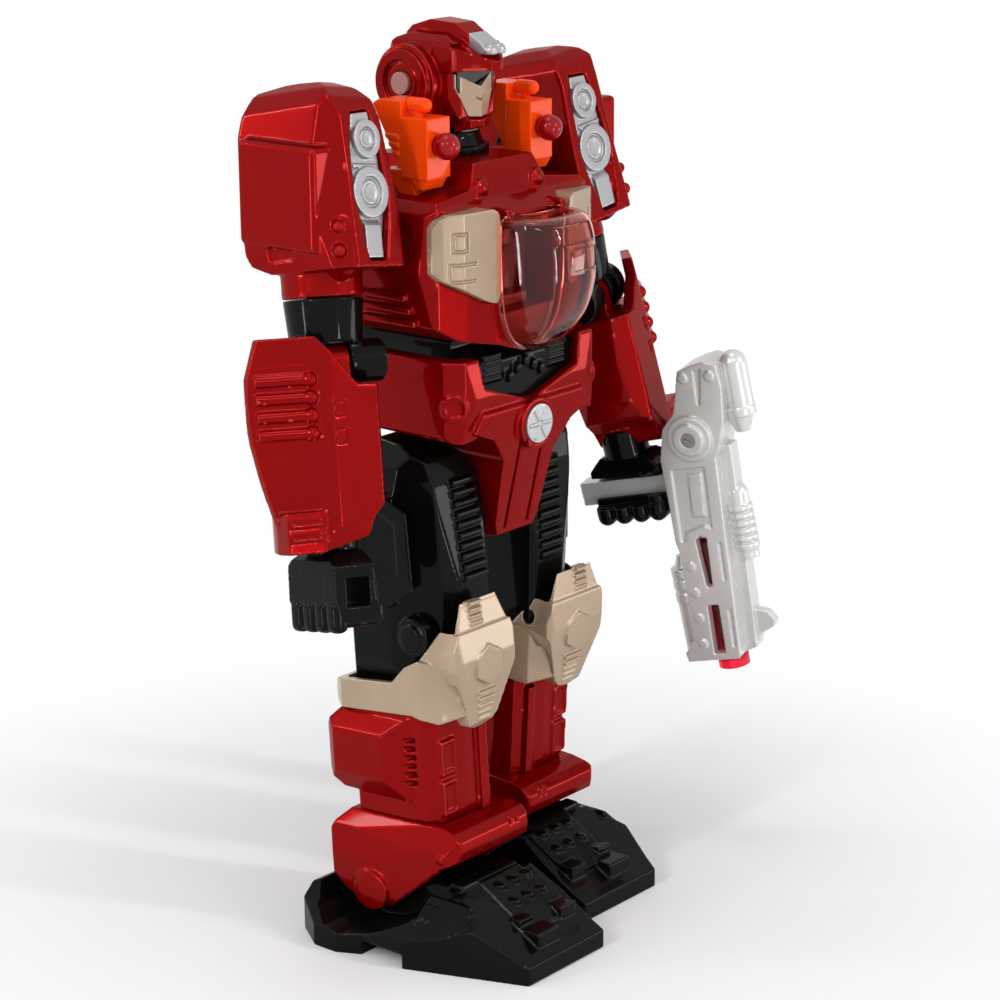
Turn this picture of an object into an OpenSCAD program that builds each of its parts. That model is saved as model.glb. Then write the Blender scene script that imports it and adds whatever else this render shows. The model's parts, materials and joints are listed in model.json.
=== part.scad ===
// Walking toy robot with a cockpit canopy, shoulder launchers and a hand-held light blaster.
// Millimetres. +Z is up, the robot faces -Y, its left side is +X, and the ground is Z = 0.

/* [Torso] */
// Half width of the chest at its side walls
chest_half = 40; // [38:0.5:42]
// Height of the chest's lower rim
chest_low = 208; // [206:0.5:210]
// Height of the neck opening in the chest
neck_deck = 263; // [262:0.5:264]
// Half width of the cockpit canopy
canopy_half = 17; // [16:0.5:18]

/* [Arms] */
// Distance of the shoulder pivot from the middle plane
shoulder_x = 57.7; // [57:0.1:59]
// Height of the shoulder pivot
shoulder_z = 258; // [256:0.5:260]
// Outward splay of each arm
arm_splay = 8; // [6:0.5:10]
// Forward swing of each arm in the standing pose
arm_swing = 11; // [6:0.5:14]
// Turn of each forearm about the upper arm
forearm_yaw = 22; // [15:1:30]
// Turn of each hand about its wrist, palms inwards
wrist_yaw = -98; // [-105:1:-90]

/* [Legs] */
// Height of the hip axis
hip_z = 165; // [163:0.5:167]
// Height of the ankle axis
ankle_z = 18.5; // [18:0.5:19]
// How far behind the shoulders' plane the hip and ankle axes lie
leg_y = 5; // [4:0.5:6]
// Swing of each leg from upright in the standing pose
stride = 3.4; // [0:0.1:4]

/* [Blaster] */
// Thickness of the blaster's body
blaster_t = 15; // [14:0.5:16]
// Lean of the barrel back towards the hand
blaster_tilt = 2.5; // [0:0.5:4]

/* [Hidden] */
$fn = 48;
left = 1;
right = -1;
run_gap = 0.05;     // radial clearance of a pin in its bore
eps = 0.01;         // overshoot of a cutting tool
red = "firebrick";
black = "#202224";
gold = "#c8b89a";
silver = "silver";

// ---------- drawing helpers ----------

// Extrudes an outline of [y, z] points from x0 to x1
module side_cut(points, x0, x1) {
    translate([x0, 0, 0]) rotate([90, 0, 90]) linear_extrude(x1 - x0) polygon(points);
}

// Extrudes an outline of [x, z] points from y0 to y1
module front_cut(points, y0, y1) {
    translate([0, y1, 0]) rotate([90, 0, 0]) linear_extrude(y1 - y0) polygon(points);
}

// Extrudes an outline of [x, y] points from z0 to z1
module plan_cut(points, z0, z1) {
    translate([0, 0, z0]) linear_extrude(z1 - z0) polygon(points);
}

// Half outline of [x, *] points made whole by mirroring it about x = 0
function whole(points) =
    concat(points, [for (i = [len(points) - 1:-1:0]) if (points[i][0] > 0) [-points[i][0], points[i][1]]]);

// Cylinder between x0 and x1 about the line through [y, z]
module bar_x(r, x0, x1, y, z) {
    translate([x0, y, z]) rotate([0, 90, 0]) cylinder(r = r, h = x1 - x0);
}

// Cylinder between y0 and y1 about the line through [x, z]
module bar_y(r, y0, y1, x, z) {
    translate([x, y1, z]) rotate([90, 0, 0]) cylinder(r = r, h = y1 - y0);
}

// Box between two corners
module box(low, high) {
    translate(low) cube(high - low);
}

// Everything on the robot's right side is the mirror image of its left side
module on_side(side) {
    if (side == left) children();
    else mirror([1, 0, 0]) children();
}

// ---------- torso ----------

chest_side = [[-36, 202], [-34, 247], [-26, 252], [-23, neck_deck], [20, neck_deck], [27, 256], [32, 240],
    [31, 218], [24, chest_low - 4], [-20, 204], [-30, 202]];
chest_front_half = [[0, neck_deck], [15, neck_deck], [19, 255], [36, 253], [chest_half, 249],
    [chest_half + 1, 230], [chest_half - 1, 213], [31, chest_low], [16, 205], [0, 200]];
chest_plan_half = [[0, -34], [canopy_half, -34], [28, -31.5], [chest_half - 2, -27], [chest_half + 1, -22],
    [chest_half + 1, 20], [34, 29], [0, 32]];
chest_seam_y = 6;

module chest_form() {
    intersection() {
        side_cut(chest_side, -chest_half - 2, chest_half + 2);
        front_cut(whole(chest_front_half), -40, 40);
        plan_cut(whole(chest_plan_half), 195, 270);
    }
}

// Room inside the chest for the gearbox, cells and speaker
module chest_hollow() {
    box([-34, -14, 214], [34, 24, 248]);
    box([-14, -14, 247], [14, 20, 258]);
}

// Opening that the cockpit tub drops into
module cockpit_opening() {
    bay(0.6, -45, -16);
}

// Lugs that hold the canopy's hinge bar
module hinge_lugs() {
    for (side = [left, right]) on_side(side) difference() {
        union() {
            bar_x(2.2, 12.4, 15, canopy_hinge[0], canopy_hinge[1]);
            box([12.4, -37, 246.2], [15, -31, 249.2]);
        }
        bar_x(hinge_r + run_gap, 12, 16, canopy_hinge[0], canopy_hinge[1]);
    }
}

module chest_front() {
    color(red) difference() {
        union() {
            difference() {
                intersection() {
                    chest_form();
                    box([-50, -60, 190], [50, chest_seam_y, 280]);
                }
                chest_hollow();
                cockpit_opening();
            }
            for (side = [left, right]) on_side(side) {
                translate([14.1, -25.2, 254.8]) sphere(r = 2.4);
                bar_y(3.3, -26.4, -20, 14.1, 254.8);
                for (z = screw_z) bar_y(3.5, -14.5, chest_seam_y, screw_x, z);
                for (i = [0:2]) box([chest_half - 1, -20 + 2 * i, 213 + 4 * i], [chest_half + 1.6, 4, 215 + 4 * i]);
            }
        }
        neck_bore();
        for (side = [left, right]) on_side(side) {
            plate_recess();
            axle_seat();
            launcher_foot();
        }
        screw_bores();
        waist_form();
    }
    color(red) hinge_lugs();
}

module chest_back() {
    color(red) difference() {
        union() {
            difference() {
                intersection() {
                    chest_form();
                    box([-50, chest_seam_y, 190], [50, 60, 280]);
                }
                chest_hollow();
                door_opening();
            }
            for (side = [left, right]) on_side(side) {
                box([31, chest_seam_y, 214], [36, 20, 248]);
                for (z = screw_z) bar_y(3.5, 12, 26, screw_x, z);
            }
            // post for the door's screw
            box([-3, 24.4, door_screw_z - 2.6], [3, door_y, 249]);
        }
        neck_bore();
        switch_slot();
        screw_bores();
        waist_form();
        for (side = [left, right]) on_side(side) {
            axle_seat();
            launcher_foot();
        }
    }
}

neck_y = 3;
neck_r = 9;
neck_low = 258;
module neck_bore() {
    translate([0, neck_y, neck_low]) cylinder(r = neck_r, h = 20);
}

module axle_seat() {
    arm_frame(left) bar_x(axle_r, -26, -14, 0, 0);
}

// Gold plate on each side of the cockpit
plate_z = [[20.5, 250.2], [35.5, 249.8], [38.4, 248.2], [39.5, 245], [39.5, 231], [38, 228.6], [23, 220.6],
    [19.4, 219.6], [17.8, 221.6], [17.3, 228], [17.4, 245], [18.4, 249]];
module plate_solid(grow) {
    intersection() {
        front_cut(plate_z, -44, -15);
        plan_cut([[16, -36.6 - grow], [20, -36.4 - grow], [32, -33.6 - grow], [38, -29.5 - grow],
            [40 + grow, -25], [40 + grow, -22], [16, -22]], 210, 255);
    }
}

module plate_recess() {
    plate_solid(0.2);
}

module chest_plate(side) {
    color(gold) on_side(side) difference() {
        plate_solid(0);
        // the marks are sunk by the same depth all over
        difference() {
            union() {
                translate([27, -40, 237.4]) bracket_mark(8.4);
                translate([27.4, -40, 227.6]) bracket_mark(9);
            }
            plate_solid(-0.8);
        }
    }
}

// Engraved bracket with a post inside it, open towards the middle
module bracket_mark(w) {
    depth = 12;
    line = 1.1;
    box([w - line, 0, 0], [w, depth, 6.6]);
    box([0, 0, 6.6 - line], [w, depth, 6.6]);
    box([0, 0, 0], [w, depth, line]);
    box([0.4 * w, 0, 0], [0.4 * w + line, depth, 6.6]);
}

// Seat tub behind the canopy
module cockpit_tub() {
    color("#6a1016") difference() {
        intersection() {
            bay(0.8, -33, -16);
            box([-20, -34, 200], [20, -15, 245.7]);
        }
        box([-13.6, -34, 215], [13.6, -20, 243]);
    }
    color("#6a1016") {
        box([-7, -27, 214.9], [7, -19.9, 219]);
        box([-6, -23, 218.9], [6, -19.9, 234]);
        box([-3.5, -23.5, 233.9], [3.5, -19.9, 240]);
    }
}

// Clear dome that swings up about its top edge
canopy_rim_y = -34.4;
canopy_hinge = [-36, 245.9];
// Side and plan outlines of the canopy's outer skin
canopy_side = [[-34.4, 246.4], [-49, 246.4], [-51.8, 245], [-53.6, 240], [-55.2, 233], [-55.4, 227],
    [-54.4, 221], [-52, 214.6], [-48, 208.6], [-43, 204], [-38.4, 201.6], [-34.4, 201]];
canopy_plan = [[0, -55.5], [5, -55], [9.6, -53.6], [13.2, -51], [15.6, -47.4], [16.7, -43], [canopy_half, -38],
    [canopy_half, -34.4]];
canopy_front = [[0, 201], [3, 201], [7, 202.4], [10.6, 205], [13.4, 208.8], [15.5, 213.6], [16.6, 219.4],
    [canopy_half, 226], [canopy_half, 246.4], [0, 246.4]];
wall = 1.2;

hinge_r = 1.3;
module canopy() {
    color("#8a6a60") difference() {
        canopy_shell();
        // notches for the chest's lugs
        for (side = [left, right]) on_side(side) box([12, -40.4, 243.2], [15.4, canopy_rim_y + 1, 250]);
    }
    color("#8a6a60") {
        bar_x(hinge_r, 1 - canopy_half, canopy_half - 1, canopy_hinge[0], canopy_hinge[1]);
        // catch on the hatch
        box([6.6, -49.6, 246], [11, -44.6, 247.6]);
    }
}

module canopy_skin(side_line, plan_line, front_line) {
    intersection() {
        side_cut(side_line, -30, 30);
        plan_cut(whole(plan_line), 190, 260);
        front_cut(whole(front_line), -70, 0);
    }
}

// Bay behind the canopy, narrower than it by grow on each side
module bay(grow, y0, y1) {
    front_cut(whole([for (p = canopy_front) [max(0, p[0] - grow), p[1] - 0.4 + 0.5 * (grow - 0.6)]]), y0, y1);
}

module canopy_shell() {
    difference() {
        canopy_skin(canopy_side, canopy_plan, canopy_front);
        difference() {
            translate([0, wall, 0]) canopy_skin([for (p = canopy_side) [p[0], 224 + 0.95 * (p[1] - 224)]],
                [for (p = canopy_plan) [max(0, p[0] - wall), p[1]]],
                [for (p = canopy_front) [max(0, p[0] - wall), 224 + 0.95 * (p[1] - 224)]]);
            // frame of the hatch, left standing on the inside
            box([-30, -60, 232.6], [30, -44, 233.8]);
            for (side = [left, right]) on_side(side) box([9.4, -60, 233.7], [10.6, -44, 260]);
        }
        box([-30, canopy_rim_y, 190], [30, 0, 260]);
    }
}

module neck_post() {
    color(black) difference() {
        union() {
            translate([0, neck_y, neck_low]) cylinder(r = neck_r, h = 10);
            translate([0, neck_y, neck_low + 9]) cylinder(r = 6, h = 13);
            // stepped collar on the chest's deck
            translate([0, neck_y, neck_deck]) cylinder(r = 15.4, h = 2.6);
            translate([0, neck_y, neck_deck + 2.5]) cylinder(r1 = 14, r2 = 12.6, h = 3);
        }
    }
}

// Black waist between the chest and the pelvis
module waist_form() {
    difference() {
        intersection() {
            side_cut([[-24, 214], [-24, 204], [-31, 199], [-31, 185], [-26, 178], [15, 178], [15, 203], [20, 206],
                [20, 214]], -32, 32);
            front_cut(whole([[0, 214], [30, 214], [28, 206], [31, 200], [30, 183.2], [3, 179.4],
                [0, 179.4]]), -40, 30);
        }
        cockpit_opening();
    }
}

module waist_core() {
    color(black) {
        waist_form();
        for (side = [left, right]) on_side(side)
            for (i = [0:4]) bar_x(0.9, 12, 21, -31, 193.4 + 1.9 * i);
        for (i = [0:4]) bar_y(1.6, -33, -30, 4 * i - 8, 197 - 2 * abs(i - 2));
    }
}

// ---------- pelvis ----------

module pelvis_shell() {
    color(red) difference() {
        union() {
            intersection() {
                side_cut([[-35, 189], [-34, 202], [18, 202], [22, 196], [22, 176], [-33, 175]], -40, 40);
                front_cut(whole([[0, 180], [24, 176], [34, 174], [37, 177], [37, 202], [26, 202], [24, 192],
                    [0, 184]]), -50, 40);
                plan_cut(whole([[0, -36], [24, -36], [33, -34], [37, -28], [37, 18], [30, 22], [0, 22]]), 130, 210);
            }
            intersection() {
                side_cut([[-36, 184], [-35, 172], [-27, 138], [-22, 136], [4, 150], [12, 168], [12, 184]], -40, 40);
                front_cut(whole([[0, 136], [9, 137], [11, 142], [13, 165], [20, 174], [30, 178], [24, 186],
                    [0, 186]]), -50, 40);
            }
            bar_y(8.6, -37.5, -30, 0, 176.4);
            for (side = [left, right]) on_side(side) difference() {
                hip_ring(4.4, 0, 4.8);
                hip_ring(3, 4.1, 6);
            }
        }
        for (side = [left, right]) on_side(side) {
            side_cut([[-40, 172], [-33.5, 172], [-25.5, 140], [-40, 136]], 5, 6.6);
            bar_x(hip_r - run_gap, 9, 40, leg_y, hip_z);
        }
        waist_form();
        bar_y(6.7, -38, -36.3, 0, 176.4);
    }
}

// Cylinder on the pelvis's front outer facet
module hip_ring(r, from, to) {
    translate([31.6, -28.8, 187]) rotate([0, 90, -33.6]) translate([0, 0, from]) cylinder(r = r, h = to - from);
}

module belt_disc() {
    color(silver) {
        bar_y(6.6, -38, -36.3, 0, 176.4);
        for (i = [0:5]) translate([0, 0, 176.4]) rotate([0, 60 * i, 0]) box([1, -38.4, -0.5], [5.6, -37.9, 0.5]);
    }
}

// ---------- back of the torso ----------

door = [[-24, 216], [24, 245]];
door_y = 28;
door_screw_z = 240;
module door_opening() {
    box([door[0][0], 20, door[0][1]], [door[1][0], 40, door[1][1]]);
}

module battery_door() {
    gap = 0.3;
    color(red) difference() {
        intersection() {
            chest_form();
            box([door[0][0] + gap, door_y, door[0][1] + gap], [door[1][0] - gap, 40, door[1][1] - gap]);
        }
        for (i = [0:4]) box([-12, 31, 222 + 2.4 * i], [12, 40, 223 + 2.4 * i]);
        bar_y(screw_r, 20, 40, 0, door_screw_z);
        bar_y(head_r, 30.6, 40, 0, door_screw_z);
    }
}

// Screws of the battery door and of the chest shells, all one kind
screw_x = 30;
screw_z = [219, 243];
screw_r = 1.4;
head_r = 2.4;
module screw_bores() {
    for (side = [left, right]) for (z = screw_z) {
        bar_y(screw_r, 2, 40, side * screw_x, z);
        bar_y(head_r, 27, 40, side * screw_x, z);
    }
    bar_y(screw_r, 20, 40, 0, door_screw_z);
}

module screw(x, z, tip_y, head_y) {
    difference() {
        union() {
            bar_y(screw_r, tip_y, head_y + 0.1, x, z);
            bar_y(head_r, head_y, head_y + 1.4, x, z);
        }
        translate([x, head_y + 1.4, z]) cube([0.5, 1, 2.8], center = true);
        translate([x, head_y + 1.4, z]) cube([2.8, 1, 0.5], center = true);
    }
}

module shell_screws() {
    color(silver) {
        for (side = [left, right]) for (z = screw_z) screw(side * screw_x, z, 2, 27);
        screw(0, door_screw_z, 24.6, 30.6);
    }
}

module gearbox() {
    color("#b8b4a8") {
        box([-16, -13, 214], [16, 8, 232]);
        bar_x(7, -25.5, -15.9, -3, 223);
        bar_x(1.2, 15.9, 24, -3, 223);
        bar_x(5, 19, 22, -3, 223);
    }
}

module battery_cells() {
    color("#3a4a3a") {
        for (i = [0:1]) bar_x(6.9, -22, 22, 16.8, 221.1 + 14.2 * i);
        for (side = [left, right]) on_side(side) box([21.9, 10.4, 214], [23.4, 23.6, 242]);
    }
}

module speaker() {
    color("#303030") translate([0, neck_y, neck_low - 5]) difference() {
        cylinder(r = 9, h = 5);
        translate([0, 0, -0.1]) cylinder(r1 = 8, r2 = 3, h = 2.1);
    }
}

switch_x = [-5, 5];
switch_z = [249.5, 253.5];
module switch_slot() {
    box([switch_x[0] - 3.2, 20, switch_z[0]], [switch_x[1] + 3.2, 40, switch_z[1]]);
}

module power_switch() {
    color(black) {
        box([-5, 24, 249.7], [1, 29.8, 253.3]);
        for (i = [0:2]) box([-4.2 + 1.6 * i, 29.7, 249.9], [-3.4 + 1.6 * i, 30.4, 253.1]);
    }
}

// ---------- head ----------

skull_side = [[-10, 270.8], [-12.4, 276], [-12.6, 291], [-14.5, 294], [-13.4, 297.4], [-10.4, 300.4], [-5, 302.5],
    [2, 303.1], [9, 302.4], [14, 300.4], [17.2, 297], [18.6, 292], [18.6, 280], [17, 275], [12, 271]];
skull_front = [[0, 303.2], [4, 303], [7.6, 302], [10.4, 300], [12.2, 297.2], [13.2, 293.6], [13.4, 289.6], [12.4, 284], [9.5, 276.6], [5, 271.6], [0, 270.8]];
crest_side = [[16, 294], [14.4, 301.6], [11.6, 304], [3.3, 306.4], [-7.4, 305.7], [-13, 302.4], [-18, 298],
    [-20, 294], [-14, 292]];
module helmet() {
    color(red) difference() {
        union() {
            intersection() {
                side_cut(skull_side, -20, 20);
                front_cut(whole(skull_front), -30, 30);
                plan_cut(whole([[0, -15.5], [7, -13.5], [11.4, -9.6], [13.4, 0], [13, 12], [9, 17.5], [0, 18.5]]), 260, 310);
            }
            // central crest
            intersection() {
                side_cut(crest_side, -6, 6);
                plan_cut(whole([[0, -21], [3.4, -19.6], [4.6, -8], [5.4, 4], [4, 16], [0, 16.4]]), 285, 310);
            }
            // brow
            intersection() {
                side_cut([[-22.4, 291.2], [-22, 294], [-13, 298.6], [-4, 300], [-4, 290.6]], -14, 14);
                plan_cut(whole([[0, -22.2], [3, -21], [12.3, -11.8], [12.8, -4], [0, -4]]), 285, 302);
            }
            // chin
            intersection() {
                side_cut([[-14.6, 272.4], [-15, 274.6], [-8, 276.4], [-8, 270.6]], -10, 10);
                plan_cut(whole([[0, -15], [4.6, -13.4], [7, -8], [0, -8]]), 265, 280);
            }
            for (side = [left, right]) on_side(side) ear();
        }
        // face opening under the brow
        front_cut(whole([[0, 275.4], [4.8, 275.8], [9.9, 285.4], [9.9, 290.8], [0, 290.8]]), -40, -9.7);
        translate([0, neck_y, 260]) cylinder(r = 6 + run_gap, h = 20 + run_gap);
        // seat of the crest lamp
        box([-4.2, -40, 296.4], [4.2, -12.6, 310]);
        for (side = [left, right]) on_side(side) {
            bar_x(3.8, 16.4, 22, ear_y, ear_z);
            side_cut([[-16, 296.6], [-9.5, 299.6], [-9.8, 300.1], [-16.3, 297.2]], 6, 20);
        }
    }
}

ear_y = 5.2;
ear_z = 286.8;
module ear() {
    bar_x(12.4, 8, 16, ear_y, ear_z);
    difference() {
        bar_x(11, 15.9, 18, ear_y, ear_z);
        bar_x(7.6, 16.8, 19, ear_y, ear_z);
    }
    bar_x(6.4, 15.9, 17.2, ear_y, ear_z);
    side_cut([[ear_y - 12.4, ear_z], [ear_y - 10, 274], [ear_y + 8, 274], [ear_y + 12.4, ear_z]], 8, 16);
}

module ear_discs() {
    color("#c49a90") for (side = [left, right]) on_side(side) bar_x(3.7, 16.4, 18.4, ear_y, ear_z);
}

module crest_lamp() {
    color(silver) {
        side_cut([[-12.6, 296.4], [-20.4, 296.4], [-18, 299.6], [-12.6, 302.8]], -4.2, 4.2);
        intersection() {
            for (side = [left, right]) on_side(side) translate([2, -19.8, 297.4]) sphere(r = 2.4);
            box([-5, -30, 296.4], [5, -15, 301]);
        }
    }
}

module visor_form() {
    intersection() {
        side_cut([[-9.7, 282], [-11.6, 284], [-11.6, 290.8], [-9.7, 290.8]], -9.2, 9.2);
        front_cut(whole([[0, 281], [7.2, 281], [9.2, 285.6], [9.2, 292], [0, 292]]), -20, 0);
    }
}

module visor_band() {
    color(black) visor_form();
}

module face_guard() {
    color(gold) difference() {
        intersection() {
            plan_cut([[-9.9, -11], [0, -14], [9.9, -11], [9.9, -9.7], [-9.9, -9.7]], 274, 292);
            front_cut(whole([[0, 285.4], [9.7, 290.2], [9.7, 285.5], [4.6, 275.9], [0, 275.5]]), -20, 0);
        }
        front_cut(whole([[0, 281.2], [9.8, 286.2], [9.8, 285.7], [0, 280.7]]), -20, -13);
        visor_form();
    }
}

// ---------- launchers ----------

launch_x = 26;
launch_z = 269.6;
missile_r = 3;
module launcher(side) {
    color("orangered") on_side(side) difference() {
        union() {
            box([20.3, -18, 259], [31.7, -7, 278.4]);
            box([21, -7.1, 262], [31.7, 5, 283.6]);
            side_cut([[-18, 259.1], [-16, 255.6], [-12.6, 255.6], [-6, 266], [-6, 270]], 22, 31.2);
            launcher_foot();
            for (i = [0:2]) box([31.6, -6, 266 + 2.6 * i], [32.4, 1, 267.4 + 2.6 * i]);
        }
        bar_y(missile_r + run_gap, -30, -1, launch_x, launch_z);
        translate([launch_x + 1, -10.4, 273.4]) cylinder(r = 1.6 + run_gap, h = 8);
        side_cut([[5.1, 282], [2, 283.7], [5.1, 283.7]], 20, 33);
        side_cut([[-1.8, 270], [5.1, 282], [5.1, 261], [-6, 261]], 20, 33);
    }
}

// Foot that sits in the chest's top
module launcher_foot() {
    side_cut([[-8, 262.1], [-12, 252], [-6, 252], [4, 262.1]], 23, 30);
}

module missile(side) {
    color("crimson") on_side(side) {
        bar_y(missile_r, -20, -1.6, launch_x, launch_z);
        translate([launch_x, -21.4, launch_z]) sphere(r = 4.4);
    }
}

module launch_button(side) {
    color("orangered") on_side(side) {
        translate([launch_x + 1, -10.4, 275]) cylinder(r = 1.6, h = 6);
        bar_y(2.4, -13.4, -7.4, launch_x + 1, 282.1);
        translate([launch_x + 1, -13.2, 282.1]) sphere(r = 2.4);
    }
}

// ---------- arms ----------

shoulder_y = 6.5;
axle_r = 6;

// Frame of an arm: pivot at the shoulder, splayed outwards and swung forwards
module arm_frame(side) {
    on_side(side) translate([shoulder_x, shoulder_y, shoulder_z]) rotate([0, -arm_splay, 0])
        rotate([-arm_swing, 0, 0]) children();
}

module shoulder_axle(side) {
    color(black) arm_frame(side) {
        bar_x(axle_r, -26, -5, 0, 0);
        bar_x(9.5, -15.6, -13.6, 0, 0);
    }
}

pod_side = [[-24.4, -27], [-21.8, 20], [-20, 26], [-16, 29.8], [-11, 31.8], [2, 32.6], [14, 30.8], [17.5, 20],
    [19.8, 8], [18.2, -4], [21.6, -12], [17, -24], [9, -27]];
pod_front = [[-12.8, -27], [-13, -10], [-11, 6], [-7.6, 25], [-5, 29], [0, 31.8], [6, 32.4], [11, 29.4],
    [14.4, 24], [16.4, 10], [16.5, -12], [13.5, -27]];
pod_plan = [[-13, -25], [8.6, -25], [9.6, -22.4], [16.6, -14.6], [16.6, 16], [12, 22], [-9, 22], [-13, 17]];
collar_r = 13;
collar_z = -35;
peg_r = 5;
module pod_form() {
    intersection() {
        side_cut(pod_side, -20, 20);
        front_cut(pod_front, -30, 30);
        plan_cut(pod_plan, -40, 40);
    }
}

lamp_outline = [[4.5, 21.5], [6.5, 9.4], [6.7, -3], [5.2, -14], [2.7, -25], [-5.2, -25], [-8, -11], [-8.2, -3],
    [-6.7, 9.6], [-3.5, 22.4]];
module shoulder_pod(side) {
    color(red) arm_frame(side) difference() {
        union() {
            difference() {
                pod_form();
                front_cut(lamp_outline, -30, -19);
                bar_y(6.1, -30, -20.9, -0.6, 13);
                bar_y(8.1, -30, -20.9, -0.8, -3.6);
                // step under the upper side panel
                side_cut([[-40, 19.6], [40, 19.6], [40, 19], [-40, 19]], 15.6, 20);
                // kidney shaped recess on the front outer corner
                translate([14.5, -19.5, -15.5]) rotate([0, 0, 40]) kidney();
                // moulded notch low on the outer side
                box([13.6, -2, -23.5], [20, 8, -16.5]);
            }
            translate([0, 0, collar_z]) cylinder(r = collar_r, h = 9);
            translate([12.4, -20, -14]) sphere(r = 2);
            translate([12.4, -20, -21.5]) sphere(r = 2.2);
        }
        bar_x(axle_r + run_gap, -14, -5 + run_gap, 0, 0);
        translate([0, 0, collar_z - 1]) cylinder(r = peg_r + run_gap, h = 9);
    }
}

module kidney() {
    scale_r = 9;
    translate([0, -3.6, 0]) rotate([90, 0, 90]) {
        linear_extrude(3, center = true) intersection() {
            square([9, 22], center = true);
            circle(r = scale_r + 2.5);
        }
    }
}

module lamp_ring(x, z, y, r) {
    for (ring = [[1, 2.4], [0.78, 1.4], [0.46, 2.2], [0.3, 2.8]])
        bar_y(r * ring[0], y - ring[1], y + 1, x, z);
}

module lamp_panel(side) {
    color(silver) arm_frame(side) difference() {
        union() {
            front_cut([for (p = lamp_outline) p * 0.965], -21.2, -19);
            lamp_bezel(-0.6, 13, 6);
            lamp_bezel(-0.8, -3.6, 8);
            box([-5.6, -22, 4], [5.6, -21, 5.2]);
            side_cut([[-21.1, -12], [-22.8, -14], [-23, -24], [-21.1, -24]], -4.6, 2.8);
        }
    }
}

// Stepped round lamp bezel with a domed middle
module lamp_bezel(x, z, r) {
    difference() {
        bar_y(r, -23.2, -21.1, x, z);
        bar_y(r * 0.62, -24, -22.2, x, z);
    }
    difference() {
        bar_y(r * 0.48, -22.8, -22.1, x, z);
        bar_y(r * 0.34, -24, -22.5, x, z);
    }
}

elbow = [1, -3, -55.5];
barrel_r = 7;
pin_r = 2.2;
module upper_arm(side) {
    color(black) arm_frame(side) difference() {
        union() {
            translate([0, 0, -50]) cylinder(r1 = 11.6, r2 = 12.8, h = 14.6);
            translate([0, 0, -36]) cylinder(r = peg_r, h = 8);
            elbow_frame() {
                bar_x(barrel_r, -16.5, 16, 0, 0);
                bar_x(8.4, 11, 16, 0, 0);
            }
            hull() {
                translate([0, 0, -50]) cylinder(r = 9, h = 1, $fn = 32);
                elbow_frame() bar_x(5.5, -9, 9, 0, 2, $fn = 32);
            }
        }
        elbow_frame() {
            box([-4, -12, -12], [4, 12, 6.5]);
            bar_x(pin_r, -20, 20, 0, 0);
        }
    }
}

// Frame of the forearm: elbow axis along its X
module elbow_frame() {
    translate(elbow) rotate([0, 0, forearm_yaw]) children();
}

module elbow_pin(side) {
    color(silver) arm_frame(side) elbow_frame() bar_x(pin_r, -16, 15.5, 0, 0);
}

fore_plan = [[-11.6, -8], [-8, -14.4], [8, -15.4], [26, -9], [24, 0], [21, 8], [14, 12], [-8, 11.5], [-11.6, 6]];
fore_side = [[-17, -7.5], [-17, -46], [-13, -59], [8.6, -59], [10, -46], [12, -36], [12, -12], [8, -7.5]];
fore_front = [[27, -7.5], [-11, -7.5], [-11.6, -22], [-11, -38], [-9.6, -44], [-4.6, -49], [-2, -55], [5, -57],
    [13, -59], [25, -59], [25, -40]];
shield_plan = [[-8, -14.6], [8, -15.8], [33, -6.5], [32.6, -3.4], [8, -11.6], [-8, -10]];
shield_front = [[29, 8.3], [12, 8.3], [-1.5, -7.4], [-8, -7.4], [-8, -40], [2, -51], [12, -52], [25.6, -52],
    [29.4, -38], [32.2, -24], [33, -13], [32.6, -4]];
wrist = [3.8, 1.7];
wrist_r = 8.2;
module forearm(side) {
    color(red) arm_frame(side) elbow_frame() difference() {
        union() {
            intersection() {
                side_cut(fore_side, -40, 40);
                front_cut(fore_front, -40, 40);
                plan_cut(fore_plan, -70, 20);
            }
            intersection() {
                plan_cut(shield_plan, -60, 20);
                front_cut(shield_front, -40, 40);
            }
            box([-3.6, -6, -9], [3.6, 6, 0]);
            bar_x(6, -3.6, 3.6, 0, 0);
            shield_frame() {
                for (i = [0:3]) bar_x(1.9, 7, 24, 0.3, -5 - 5.6 * i);
                for (i = [0:3]) translate([7, 0.3, -5 - 5.6 * i]) sphere(r = 2.5);
            }
            // lower box with two ribs
            box([12.6, -14.6, -59], [26, -6, -46]);
            for (i = [0:1]) box([14.6, -15.4, -50.6 - 4.4 * i], [24.6, -14, -49 - 4.4 * i]);
        }
        bar_x(pin_r + run_gap, -5, 5, 0, 0);
        bar_x(barrel_r + 0.4, -17.2, -4.2, 0, 0);
        bar_x(barrel_r + 0.4, 4.2, 16.4, 0, 0);
        bar_x(9, 10.6, 16.6, 0, 0);
        translate([wrist[0], wrist[1], -60]) cylinder(r = peg_r + run_gap, h = 18);
        translate([wrist[0], wrist[1], -60]) cylinder(r = wrist_r + 0.4, h = 10.4);
        for (i = [0:1]) box([3.5, -18, -17 - 8.6 * i], [7.5, -14.9, -12 - 8.6 * i]);
    }
}

// Frame on the outer face of the forearm's shield
module shield_frame() {
    translate([8, -15.8, 0]) rotate([0, 0, atan2(9.3, 25)]) children();
}

// Fist with a rectangular grip hole through it along X, palm towards -Y, thumb at the +X end
module hand(side) {
    color(black) arm_frame(side) elbow_frame() translate([wrist[0], wrist[1], -59]) rotate([0, 0, wrist_yaw]) fist();
}

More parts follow.
